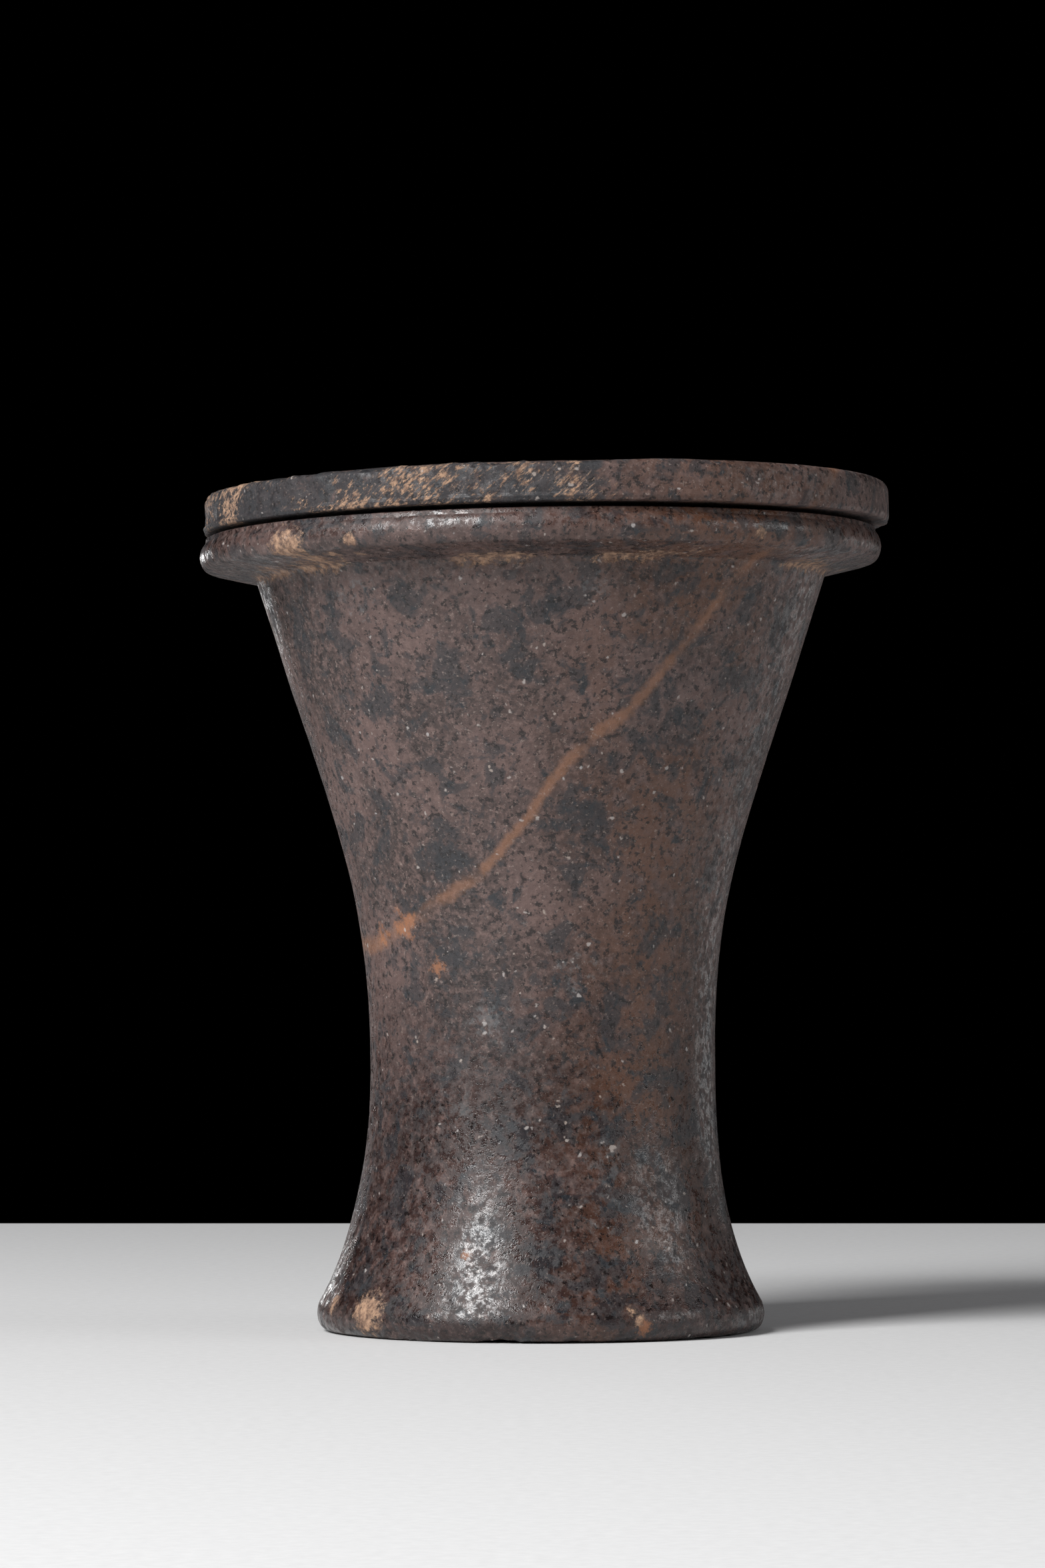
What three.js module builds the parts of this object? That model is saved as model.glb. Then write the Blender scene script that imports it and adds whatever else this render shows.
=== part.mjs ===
// A stone kohl jar: a small waisted vessel with a wide flat rim, a drilled well for the eye paint,
// and a loose disc lid whose plug drops into the mouth.
// Millimetres, +Z up. The origin is the middle of the base, on the surface the jar stands on,
// and the side seen in a front view faces -Y.
import * as THREE from "three";
import { mergeVertices } from "three/addons/utils/BufferGeometryUtils.js";

// The jar's outside
const jarHeight = 56.7; // base to seat, the flat top that the lid rests on
const baseRadius = 15.1; // flat that touches the table
const footRadius = 15.8; // just above the rounded lower edge
const footHeight = 2.1;
const footEdgeLift = 0.1; // the rounded lower edge leaves the table this gently
const footEdgeBulge = 0.4; // and pulls this far past footRadius half way up
const footFlare = 0.55; // how fast the foot narrows as it rises, mm inwards per mm up
const waistRadius = 12.36;
const waistHeight = 18.5;
const neckRadius = 20.35; // where the wall meets the underside of the rim
const neckFlare = 0.32; // how fast the wall widens there, mm outwards per mm up
// How far each end of the two wall curves pulls, as a share of that curve's height
const footEase = 0.18;
const waistEaseDown = 0.49;
const waistEaseUp = 0.37;
const neckEase = 0.52;

// The rim
const rimRadius = 24.5; // at the fullest of its rounded edge
const rimThickness = 2.4; // seat to the lower edge
const rimShoulder = 0.7; // the flats stop this far inside the fullest radius
const rimLowerEase = 0.2; // the edge turns out just above its lower corner
const rimUpperEase = 0.4; // and back in this far below the seat
const rimBulge = 0.3; // pulled this far past rimRadius, which it then just reaches
const undersideFall = 0.6; // the underside slopes down by this much towards the wall
const neckFillet = 0.8; // hollow between underside and wall
const seatTilt = 1.0; // degrees: the hand-cut seat rises towards +X
const tiltSharpness = 4; // the higher, the nearer the tilt keeps to the rim

// The well
const mouthRadius = 8;
const mouthEdge = 0.4; // the mouth's worn lip
const wellDepth = 46; // seat to the lowest point of the round floor
const wellFloorRadius = 5;

// The kohl left in the well
const kohlDepth = 13; // from the well's floor
const kohlHollow = 1.4; // how far the stick has scooped its middle
const kohlBank = 0.72; // the scoop starts to fall at this share of the cake's radius
const kohlPit = 0.45; // and levels out at this share
const kohlGap = 0.3; // the dried cake has shrunk this far from the stone

// The lid
const lidOverhang = 0.1; // the disc is cut to the rim and reaches this far past it, all round
const lidThickness = 2.95;
const lidTopRound = 0.9;
const lidUnderRound = 0.5;
const lidGap = 0.35; // over the seat, where the two hand-cut faces meet on high spots
const lidShift = 0.4; // the lid lies this far off the jar's axis, towards +X
const plugClearance = 0.8; // all round, between plug and mouth
const plugLength = 1.8;
const plugRound = 0.3;

const sides = 72; // flats round each turned piece
const lidRadius = rimRadius + lidOverhang;
const seatSlope = Math.tan(THREE.MathUtils.degToRad(seatTilt));
const wellFloorCentre = jarHeight - wellDepth + wellFloorRadius;

const point = (radius, height) => new THREE.Vector2(radius, height);
const line = (from, to) => new THREE.LineCurve(from, to);
const sweep = (from, pullFrom, pullTo, to) => new THREE.CubicBezierCurve(from, pullFrom, pullTo, to);
const corner = (from, tip, to) => new THREE.QuadraticBezierCurve(from, tip, to);

// One outline from [curve, steps] pairs laid end to end, without the doubled joints.
function outline(...stretches) {
  const points = stretches.flatMap(([curve, steps]) => curve.getPoints(steps));
  return points.filter((p, i) => i === 0 || p.distanceTo(points[i - 1]) > 1e-6);
}

// A solid of revolution about Z from an outline that starts and ends on the axis.
function turned(points) {
  const geometry = new THREE.LatheGeometry(points, sides);
  geometry.rotateX(Math.PI / 2);
  geometry.deleteAttribute("normal");
  geometry.deleteAttribute("uv");
  return mergeVertices(geometry, 1e-4);
}

// How far the jar is sheared up at x and height: nothing at the base, the full slope at the seat.
const tiltRise = (x, height) => seatSlope * x * (height / jarHeight) ** tiltSharpness;

function tilted(geometry) {
  const position = geometry.getAttribute("position");
  for (let i = 0; i < position.count; i++) {
    position.setZ(i, position.getZ(i) + tiltRise(position.getX(i), position.getZ(i)));
  }
  geometry.computeVertexNormals();
  return geometry;
}

// The well narrows evenly from the mouth to the round floor that the drill left.
function wellRadius(height) {
  const share = (height - wellFloorCentre) / (jarHeight - wellFloorCentre);
  return wellFloorRadius + (mouthRadius - wellFloorRadius) * share;
}

function jarOutside() {
  const foot = point(footRadius, footHeight);
  const footEdgeLow = point(footRadius, footEdgeLift);
  const footEdgeHigh = point(footRadius + footEdgeBulge, footHeight / 2);
  const waist = point(waistRadius, waistHeight);
  const rimLower = point(rimRadius - rimShoulder, jarHeight - rimThickness);
  const filletOut = point(neckRadius + neckFillet, rimLower.y - undersideFall);
  const neck = point(neckRadius, filletOut.y - neckFillet / 2);
  const rimUpper = point(rimRadius - rimShoulder, jarHeight);
  const below = waistHeight - footHeight;
  const above = neck.y - waistHeight;
  const footPull = below * footEase;
  const neckPull = above * neckEase;
  return [
    [line(point(0, 0), point(baseRadius, 0)), 1],
    [sweep(point(baseRadius, 0), footEdgeLow, footEdgeHigh, foot), 6],
    [sweep(
      foot,
      point(footRadius - footFlare * footPull, footHeight + footPull),
      point(waistRadius, waistHeight - below * waistEaseDown),
      waist
    ), 8],
    [sweep(
      waist,
      point(waistRadius, waistHeight + above * waistEaseUp),
      point(neckRadius - neckFlare * neckPull, neck.y - neckPull),
      neck
    ), 12],
    [corner(neck, point(neckRadius + neckFlare * neckFillet / 2, filletOut.y), filletOut), 4],
    [line(filletOut, rimLower), 1],
    [sweep(
      rimLower,
      point(rimRadius, rimLower.y + rimLowerEase),
      point(rimRadius + rimBulge, jarHeight - rimUpperEase),
      rimUpper
    ), 8],
  ];
}

function jarBody() {
  const seatInner = point(mouthRadius + mouthEdge, jarHeight);
  const lip = point(wellRadius(jarHeight - mouthEdge), jarHeight - mouthEdge);
  const floorEdge = point(wellFloorRadius, wellFloorCentre);
  const floor = new THREE.EllipseCurve(
    0, wellFloorCentre, wellFloorRadius, wellFloorRadius, 0, -Math.PI / 2, true
  );
  const points = outline(
    ...jarOutside(),
    [line(point(rimRadius - rimShoulder, jarHeight), seatInner), 1],
    [corner(seatInner, point(mouthRadius, jarHeight), lip), 3],
    [line(lip, floorEdge), 4],
    [floor, 6]
  );
  return tilted(turned(points));
}

function kohlCake() {
  const top = jarHeight - wellDepth + kohlDepth;
  const radius = wellFloorRadius - kohlGap;
  const bottom = new THREE.EllipseCurve(0, wellFloorCentre, radius, radius, -Math.PI / 2, 0, false);
  const rim = point(wellRadius(top) - kohlGap, top);
  const middle = point(0, top - kohlHollow);
  const scoop = sweep(rim, point(rim.x * kohlBank, top), point(rim.x * kohlPit, middle.y), middle);
  return tilted(turned(outline([bottom, 6], [line(point(radius, wellFloorCentre), rim), 1], [scoop, 6])));
}

// The lid is turned about its own axis, with the underside of its disc at height 0.
function lidDisc() {
  const plugRadius = mouthRadius - plugClearance;
  const plugFlat = point(plugRadius - plugRound, -plugLength);
  const plugSide = point(plugRadius, plugRound - plugLength);
  const plugTop = point(plugRadius, 0);
  const underFlat = point(lidRadius - lidUnderRound, 0);
  const underSide = point(lidRadius, lidUnderRound);
  const topSide = point(lidRadius, lidThickness - lidTopRound);
  const topFlat = point(lidRadius - lidTopRound, lidThickness);
  return turned(outline(
    [line(point(0, -plugLength), plugFlat), 1],
    [corner(plugFlat, point(plugRadius, -plugLength), plugSide), 3],
    [line(plugSide, plugTop), 1],
    [line(plugTop, underFlat), 1],
    [corner(underFlat, point(lidRadius, 0), underSide), 4],
    [line(underSide, topSide), 1],
    [corner(topSide, point(lidRadius, lidThickness), topFlat), 5],
    [line(topFlat, point(0, lidThickness)), 1]
  ));
}

function piece(name, geometry, colour, roughness, metalness = 0) {
  const material = new THREE.MeshStandardMaterial({ color: colour, roughness, metalness });
  const mesh = new THREE.Mesh(geometry, material);
  mesh.name = name;
  return mesh;
}

const kohlJar = new THREE.Group();
kohlJar.add(piece("jar_body", jarBody(), 0x43312d, 0.4));
kohlJar.add(piece("kohl_cake", kohlCake(), 0x1b1a1c, 0.9));

const lid = piece("lid", lidDisc(), 0x40332f, 0.5);
lid.geometry.computeVertexNormals();
lid.position.set(lidShift, 0, jarHeight + lidGap + seatSlope * lidShift);
lid.rotation.y = -THREE.MathUtils.degToRad(seatTilt);
kohlJar.add(lid);

export default kohlJar;
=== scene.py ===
# %% [markdown]
# A stone kohl jar, step by step
#
# The object is a small waisted jar of dark red-brown stone, cut and drilled from one block, with
# a loose disc lid. This lesson starts from its construction model, which already has the right
# sizes, and makes the three pieces again as fine surfaces, with the chips, vein, crusts and worn
# polish of old stone. Lengths are in millimetres while a shape is worked out, and in metres in
# Blender.

# %% Load the construction model
import itertools
import math

import bpy
import numpy as np
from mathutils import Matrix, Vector


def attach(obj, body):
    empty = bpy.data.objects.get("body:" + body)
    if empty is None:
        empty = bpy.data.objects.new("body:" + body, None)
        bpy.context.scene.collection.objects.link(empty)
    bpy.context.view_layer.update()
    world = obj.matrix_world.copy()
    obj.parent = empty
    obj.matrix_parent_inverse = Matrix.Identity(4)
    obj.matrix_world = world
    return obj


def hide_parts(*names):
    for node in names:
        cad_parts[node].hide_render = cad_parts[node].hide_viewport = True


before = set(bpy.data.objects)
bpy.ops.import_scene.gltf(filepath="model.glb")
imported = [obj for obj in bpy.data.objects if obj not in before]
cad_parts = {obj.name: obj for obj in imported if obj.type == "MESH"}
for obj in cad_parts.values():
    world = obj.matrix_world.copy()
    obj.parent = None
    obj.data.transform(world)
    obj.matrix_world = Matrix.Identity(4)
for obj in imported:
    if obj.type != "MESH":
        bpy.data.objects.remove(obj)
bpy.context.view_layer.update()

MM = 0.001

# %% [markdown]
# The camera
#
# The jar was photographed from straight in front with a long lens, a little under half its
# height above the table, and tilted up slightly. The tilt is why the lid shows its edge and not
# its top. Distance and height come from how strongly the lid and the foot curve, because their
# curves open with their distance from eye level.

# %% Camera
CAMERA_LENS = 124.9
CAMERA_PLACE = (-1.29, -388.7, 24.45)
CAMERA_PITCH = 2.13

camera_data = bpy.data.cameras.new("camera")
camera_data.sensor_width = 36.0
camera_data.lens = CAMERA_LENS
camera_data.clip_start = 0.01
camera_data.clip_end = 20.0
camera = bpy.data.objects.new("camera", camera_data)
bpy.context.scene.collection.objects.link(camera)
camera.location = [length * MM for length in CAMERA_PLACE]
camera.rotation_euler = (math.radians(90 + CAMERA_PITCH), 0.0, 0.0)
bpy.context.scene.camera = camera
print("camera distance, mm:", round(-camera.location.y / MM, 1))

# %% [markdown]
# Curves for a turned outline
#
# A stone jar has no lathe marks to follow, but its section is still best drawn as a chain of
# short curves: a straight line, a rounded corner or a long sweep. All three are Bezier curves
# with two, three or four control points, so one function draws them all. Each curve is a named
# stretch with its number of steps, so that later work can ask in which row a stretch ends.


# %% Outline helpers
def bezier(controls, steps):
    """Points on a Bezier curve: each control point weighted by its Bernstein polynomial."""
    controls = np.array(controls, float)
    degree = len(controls) - 1
    t = np.linspace(0.0, 1.0, steps + 1)[:, None]
    weights = [math.comb(degree, k) * t**k * (1 - t) ** (degree - k) for k in range(degree + 1)]
    return sum(weight * control for weight, control in zip(weights, controls))


def chain(stretches):
    """Curves laid end to end as one outline of (radius, height) rows, without doubled joints."""
    drawn = [bezier(controls, steps) for controls, steps in stretches.values()]
    return np.vstack([drawn[0]] + [points[1:] for points in drawn[1:]])


def last_rows(stretches):
    """The row in which each named stretch ends: the running total of the steps."""
    totals = itertools.accumulate(steps for _, steps in stretches.values())
    return dict(zip(stretches, totals))


def quarter_round(radius, centre_height, steps, upwards):
    """A quarter circle about (0, centre_height), between its lowest point and its side."""
    turn = np.linspace(-math.pi / 2, 0.0, steps + 1)
    arc = np.column_stack([radius * np.cos(turn), centre_height + radius * np.sin(turn)])
    return arc if upwards else arc[::-1]


# %% [markdown]
# The jar's section
#
# These are the same sizes as in the construction model. The section runs from the middle of the
# base, out round the foot, up the waisted wall to the rim, in across the seat, and down the
# drilled well to its round floor. Rows of points are close together on the outside, where light
# catches every unevenness, and wider apart on the seat and in the well.

# %% Jar sizes
JAR_HEIGHT = 56.7
BASE_RADIUS = 15.1
FOOT_RADIUS = 15.8
FOOT_HEIGHT = 2.1
FOOT_EDGE_LIFT = 0.1
FOOT_EDGE_BULGE = 0.4
FOOT_FLARE = 0.55
WAIST_RADIUS = 12.36
WAIST_HEIGHT = 18.5
NECK_RADIUS = 20.35
NECK_FLARE = 0.32
FOOT_EASE = 0.18
WAIST_EASE_DOWN = 0.49
WAIST_EASE_UP = 0.37
NECK_EASE = 0.52
RIM_RADIUS = 24.5
RIM_THICKNESS = 2.4
RIM_SHOULDER = 0.7
RIM_LOWER_EASE = 0.2
RIM_UPPER_EASE = 0.4
RIM_BULGE = 0.3
UNDERSIDE_FALL = 0.6
NECK_FILLET = 0.8
MOUTH_RADIUS = 8.0
MOUTH_EDGE = 0.4
WELL_DEPTH = 46.0
WELL_FLOOR_RADIUS = 5.0
WELL_FLOOR_CENTRE = JAR_HEIGHT - WELL_DEPTH + WELL_FLOOR_RADIUS


def well_radius(height):
    """The well narrows evenly from the mouth to the round floor."""
    share = (height - WELL_FLOOR_CENTRE) / (JAR_HEIGHT - WELL_FLOOR_CENTRE)
    return WELL_FLOOR_RADIUS + (MOUTH_RADIUS - WELL_FLOOR_RADIUS) * share


print("jar, mm:", JAR_HEIGHT, "tall,", RIM_RADIUS * 2, "across; well floor", JAR_HEIGHT - WELL_DEPTH, "up")

# %% Jar outline
foot = (FOOT_RADIUS, FOOT_HEIGHT)
waist = (WAIST_RADIUS, WAIST_HEIGHT)
rim_lower = (RIM_RADIUS - RIM_SHOULDER, JAR_HEIGHT - RIM_THICKNESS)
fillet_out = (NECK_RADIUS + NECK_FILLET, rim_lower[1] - UNDERSIDE_FALL)
neck = (NECK_RADIUS, fillet_out[1] - NECK_FILLET / 2)
rim_upper = (RIM_RADIUS - RIM_SHOULDER, JAR_HEIGHT)
seat_inner = (MOUTH_RADIUS + MOUTH_EDGE, JAR_HEIGHT)
lip = (well_radius(JAR_HEIGHT - MOUTH_EDGE), JAR_HEIGHT - MOUTH_EDGE)
below_waist = WAIST_HEIGHT - FOOT_HEIGHT
above_waist = neck[1] - WAIST_HEIGHT
foot_pull = below_waist * FOOT_EASE
neck_pull = above_waist * NECK_EASE
foot_edge_low = (FOOT_RADIUS, FOOT_EDGE_LIFT)
foot_edge_high = (FOOT_RADIUS + FOOT_EDGE_BULGE, FOOT_HEIGHT / 2)
foot_ease = (FOOT_RADIUS - FOOT_FLARE * foot_pull, FOOT_HEIGHT + foot_pull)
waist_ease_down = (WAIST_RADIUS, WAIST_HEIGHT - below_waist * WAIST_EASE_DOWN)
waist_ease_up = (WAIST_RADIUS, WAIST_HEIGHT + above_waist * WAIST_EASE_UP)
neck_ease = (NECK_RADIUS - NECK_FLARE * neck_pull, neck[1] - neck_pull)
fillet_tip = (NECK_RADIUS + NECK_FLARE * NECK_FILLET / 2, fillet_out[1])
rim_ease_low = (RIM_RADIUS, rim_lower[1] + RIM_LOWER_EASE)
rim_ease_high = (RIM_RADIUS + RIM_BULGE, JAR_HEIGHT - RIM_UPPER_EASE)
jar_stretches = {
    "base": ([(0, 0), (BASE_RADIUS, 0)], 10),
    "foot edge": ([(BASE_RADIUS, 0), foot_edge_low, foot_edge_high, foot], 14),
    "lower wall": ([foot, foot_ease, waist_ease_down, waist], 44),
    "upper wall": ([waist, waist_ease_up, neck_ease, neck], 78),
    "fillet": ([neck, fillet_tip, fillet_out], 6),
    "underside": ([fillet_out, rim_lower], 8),
    "rim edge": ([rim_lower, rim_ease_low, rim_ease_high, rim_upper], 20),
    "seat": ([rim_upper, seat_inner], 16),
    "lip": ([seat_inner, (MOUTH_RADIUS, JAR_HEIGHT), lip], 4),
    "well": ([lip, (WELL_FLOOR_RADIUS, WELL_FLOOR_CENTRE)], 22),
}
well_floor = quarter_round(WELL_FLOOR_RADIUS, WELL_FLOOR_CENTRE, 8, upwards=False)
jar_outline = np.vstack([chain(jar_stretches), well_floor[1:]])
jar_ends = last_rows(jar_stretches)
print("jar outline rows:", len(jar_outline))

# %% [markdown]
# Noise for the shape
#
# Hand-worked stone is never even. Value noise gives every corner of a cubic lattice a hashed
# number and blends the eight corners round a point. It depends only on where a point is, so the
# seam of a turned surface closes by itself, and a piece comes out the same on every run.

# %% Lattice noise
AXIS_PRIMES = np.array([73856093, 19349663, 83492791])
SEED_PRIME = 2654435761
HASH_FACTORS = [(15, 0x2C1B3C6D), (12, 0x297A2D39)]
LOW_BITS = 0xFFFFFFFF


def hashed_number(cell, seed):
    """A number from 0 to 1 for a lattice corner, from its whole coordinates stirred bit by bit."""
    mixed = cell * AXIS_PRIMES
    bits = (mixed[..., 0] ^ mixed[..., 1] ^ mixed[..., 2] ^ (seed * SEED_PRIME)) & LOW_BITS
    for shift, factor in HASH_FACTORS:
        bits = ((bits ^ (bits >> shift)) * factor) & LOW_BITS
    return ((bits ^ (bits >> 15)) & LOW_BITS) / LOW_BITS


def lattice_noise(points, wavelength, seed):
    """Smooth noise from 0 to 1: hashed corner numbers, blended by a smoothstep along each axis."""
    scaled = points / wavelength
    cell = np.floor(scaled).astype(np.int64)
    part = scaled - cell
    part = part * part * (3 - 2 * part)
    total = np.zeros(points.shape[:-1])
    for corner in itertools.product((0, 1), repeat=3):
        weight = np.prod(np.where(np.array(corner) == 1, part, 1 - part), axis=-1)
        total += weight * hashed_number(cell + corner, seed)
    return total


def layered_noise(points, wavelength, seed, layers=3):
    """Noise of several sizes added up, each half as long and half as strong as the last."""
    strengths = [0.5**k for k in range(layers)]
    octaves = [s * lattice_noise(points, wavelength * s, seed + k) for k, s in enumerate(strengths)]
    return sum(octaves) / sum(strengths)


def smooth_step(value, low, high):
    """0 below low, 1 above high, and an S-shaped ramp between them."""
    share = np.clip((value - low) / (high - low), 0.0, 1.0)
    return share * share * (3 - 2 * share)


print("noise at the origin:", round(float(layered_noise(np.zeros(3), 1.0, seed=1)), 3))

# %% [markdown]
# A turned grid
#
# A turned piece is a grid of two parameters: the row along its outline and the angle round its
# axis. Each row becomes a ring of points, and the two rows on the axis close the ends with a
# single point and a fan. Angle 0 is the front, and angles grow towards the right.

# %% Grid surface
ANGLES = 384
angles = np.arange(ANGLES) * (2 * math.pi / ANGLES)
around = (np.degrees(angles) + 180) % 360 - 180


def turned_grid(outline):
    """Every outline point carried round Z: x is radius times sine, y is minus radius times cosine."""
    radius = outline[:, :1]
    height = np.repeat(outline[:, 1:], ANGLES, axis=1)
    return np.stack([radius * np.sin(angles), -radius * np.cos(angles), height], axis=-1)


def outward(outline):
    """The outline's normal in each row, as (radial, vertical), from the slope between neighbours."""
    along = np.gradient(outline, axis=0)
    normal = np.column_stack([along[:, 1], -along[:, 0]])
    return normal / np.linalg.norm(normal, axis=1, keepdims=True)


def pushed(grid, outline, amount):
    """The grid moved along its outline's normal by amount, which may differ at every point."""
    normal = outward(outline)
    radial = amount * normal[:, :1]
    lift = amount * normal[:, 1:]
    return grid + np.stack([radial * np.sin(angles), -radial * np.cos(angles), lift], axis=-1)


def reach(grid):
    """How far every point lies from the axis."""
    return np.hypot(grid[..., 0], grid[..., 1])


print("points round each ring:", ANGLES)

# %% [markdown]
# From grid to mesh
#
# The rings become quads, and the two ends become fans of triangles about one point each, so the
# piece is closed and has no doubled points. Fields are numbers kept at every point, such as how
# much crust there is, which the finish reads later by name.


# %% Closed mesh
def closed_mesh(name, grid, fields):
    """A closed mesh from rings of points, its first and last ring shrunk to one point each."""
    rings = grid[1:-1]
    count = len(rings)
    points = np.vstack([grid[0].mean(axis=0), rings.reshape(-1, 3), grid[-1].mean(axis=0)]) * MM
    start = 1 + np.arange(count)[:, None] * ANGLES
    here = start + np.arange(ANGLES)
    beside = start + (np.arange(ANGLES) + 1) % ANGLES
    quads = np.stack([here[:-1], beside[:-1], beside[1:], here[1:]], axis=-1).reshape(-1, 4)
    last = len(points) - 1
    first_fan = np.column_stack([np.zeros(ANGLES, int), beside[0], here[0]])
    last_fan = np.column_stack([np.full(ANGLES, last), here[-1], beside[-1]])
    mesh = bpy.data.meshes.new(name)
    mesh.from_pydata(points.tolist(), [], quads.tolist() + first_fan.tolist() + last_fan.tolist())
    mesh.polygons.foreach_set("use_smooth", np.ones(len(mesh.polygons), bool))
    for field, values in fields.items():
        flat = np.concatenate([[values[0].mean()], values[1:-1].ravel(), [values[-1].mean()]])
        mesh.attributes.new(field, "FLOAT", "POINT").data.foreach_set("value", flat.astype(np.float32))
    piece = bpy.data.objects.new(name, mesh)
    bpy.context.scene.collection.objects.link(piece)
    print(name, "triangles:", 2 * len(quads) + 2 * ANGLES)
    return piece


# %% [markdown]
# Marks that sit in one place
#
# Some marks on the stone can be pointed at: a crust under the rim, a dark patch at the vein, a
# cluster of pale flecks above the foot. Each is kept as a place on the front of the jar, how far
# right and how high, with its size. A field over the surface is 1 inside a mark and fades out
# over its edge, and the stone's finish later breaks that edge up with fine noise.

# %% Mark fields
MARK_GAIN = 1.3
RIM_ROWS_WITH_MARKS = 5
CRUSTS = [
    (-17.4, 54.6, 2.7), (-15.5, 53.9, 1.7), (-14.3, 54.1, 1.1), (-13.0, 54.9, 0.9), (-12.4, 54.0, 0.8),
    (14.9, 55.1, 0.8), (-12.2, 1.8, 2.6), (-14.6, 2.3, 1.2), (6.2, 2.2, 0.7), (6.8, 1.5, 0.7),
]
PALE_CLUSTERS = [
    (-13.1, 52.0, 3.0), (3.6, 51.8, 2.2), (4.5, 12.5, 2.8), (4.8, 8.4, 3.2), (7.4, 6.2, 3.0),
    (-3.2, 22.4, 3.0), (-6.0, 16.0, 3.0), (2.5, 25.5, 2.4),
]
DARK_PATCHES = [
    (-6.4, 26.9, 3.4), (-6.8, 33.4, 3.6), (7.2, 44.4, 3.4), (3.4, 36.0, 3.6), (-11.0, 44.0, 2.4),
    (-1.4, 46.4, 2.6), (1.2, 51.0, 2.2), (-2.0, 13.5, 3.4), (0.5, 5.5, 3.0),
]
ORANGE_SPOTS = [
    (-9.6, 28.7, 2.2), (-7.3, 25.8, 1.2), (-5.2, 6.0, 0.8), (7.2, 0.9, 1.2), (-11.2, 28.0, 1.6),
]


def on_front(across, height):
    """The point of the jar's outside that lies across to the right and height up, on the front."""
    outside = jar_outline[jar_ends["base"] : jar_ends["underside"] + RIM_ROWS_WITH_MARKS]
    nearest = outside[np.argmin(np.abs(outside[:, 1] - height))]
    depth = math.sqrt(max(nearest[0] ** 2 - across**2, 0.0))
    return np.array([across, -depth, height])


def mark_field(points, marks):
    """The strongest mark at each point: 1 near a mark's middle, falling to 0 at its size away."""
    strengths = [
        1 - np.linalg.norm(points - on_front(across, height), axis=-1) / size
        for across, height, size in marks
    ]
    return np.clip(np.max(strengths, axis=0) * MARK_GAIN, 0.0, 1.0)


print("placed marks:", len(CRUSTS) + len(PALE_CLUSTERS) + len(DARK_PATCHES) + len(ORANGE_SPOTS))

# %% [markdown]
# The rust vein
#
# A vein is a sheet of other mineral that runs through the whole block, so where the jar's curved
# wall cuts it, it shows as one slanting line that goes on across the rim. The sheet here is a
# tilted plane with a gentle bend in it. The field is the signed distance to it, which stays
# smooth between the points of the mesh, so the line can be thinner than the mesh is fine.

# %% Vein field
VEIN_HEIGHT = 42.2
VEIN_RISE_RIGHT = 1.124
VEIN_RISE_BACK = 0.339
VEIN_BEND = 1.0
VEIN_BEND_LENGTH = 14.0
VEIN_BEND_REACH = 8.0


def vein_field(points):
    """Distance from the bent plane height = start + rise right * x + rise back * y, across the plane."""
    x, y, z = points[..., 0], points[..., 1], points[..., 2]
    fade = np.exp(-(((x + 1) / VEIN_BEND_REACH) ** 2))
    bend = VEIN_BEND * fade * np.sin(2 * math.pi * (x + 1) / VEIN_BEND_LENGTH)
    above = z - (VEIN_HEIGHT + VEIN_RISE_RIGHT * x + VEIN_RISE_BACK * y + bend)
    wander = layered_noise(points, 3.0, seed=71) - 0.5
    return (above + wander) / math.sqrt(1 + VEIN_RISE_RIGHT**2 + VEIN_RISE_BACK**2)


print("vein meets the axis at height, mm:", VEIN_HEIGHT)

# %% [markdown]
# Bands and polish
#
# Rust has also spread through the stone in broad upright bands, strongest at the front right.
# Hands wore the stone bright on the rim's edge and from the lower wall down to the foot. Both are
# fields of the place alone, like the vein.

# %% Band and polish fields
BANDS = [(34, 24, 1.0), (150, 30, 0.7), (-125, 22, 0.6)]
POLISH_FULL_BELOW = 13.0
POLISH_NONE_ABOVE = 30.0
RIM_POLISH = 0.5


def band_field(points):
    """Upright rusty bands: each a bell curve over the angle round the axis, broken up by noise."""
    angle = np.degrees(np.arctan2(points[..., 0], -points[..., 1]))
    total = np.zeros(points.shape[:-1])
    for middle, width, strength in BANDS:
        off = (angle - middle + 180) % 360 - 180
        total = np.maximum(total, strength * np.exp(-((off / width) ** 2)))
    return total * smooth_step(layered_noise(points, 9.0, seed=83), 0.3, 0.6)


def polish_field(points):
    """Where hands wore the stone bright: the rim's edge, and the lower wall down to the foot."""
    low = 1 - smooth_step(points[..., 2], POLISH_FULL_BELOW, POLISH_NONE_ABOVE)
    high = RIM_POLISH * smooth_step(points[..., 2], neck[1] + 0.6, JAR_HEIGHT - 1.2)
    return np.maximum(low, high) * (0.7 + 0.3 * layered_noise(points, 6.0, seed=35))


print("rusty bands:", len(BANDS))

# %% [markdown]
# Broken edges and the tilted seat
#
# A blow on a stone edge splits off a flake and leaves a slanting face. Here every point that lies
# beyond a slanted plane is moved back onto it, and the depth of that plane changes along the
# edge. The seat was cut by hand and rises a little to the right: the whole jar is sheared up with
# its height, so that the foot stays level.

# %% Edge helpers
SEAT_SLOPE = math.tan(math.radians(1.0))
TILT_SHARPNESS = 4
FOOT_CHIPS = [(-36, 7, 0.7), (-11, 7, 0.9), (-60, 4, 0.4), (71, 9, 0.6), (128, 8, 0.7), (-150, 6, 0.5)]


def ring(radius):
    """One point for each angle on a level circle, for noise that runs along an edge."""
    return np.column_stack([np.sin(angles), np.cos(angles), np.zeros(ANGLES)]) * radius


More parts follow.
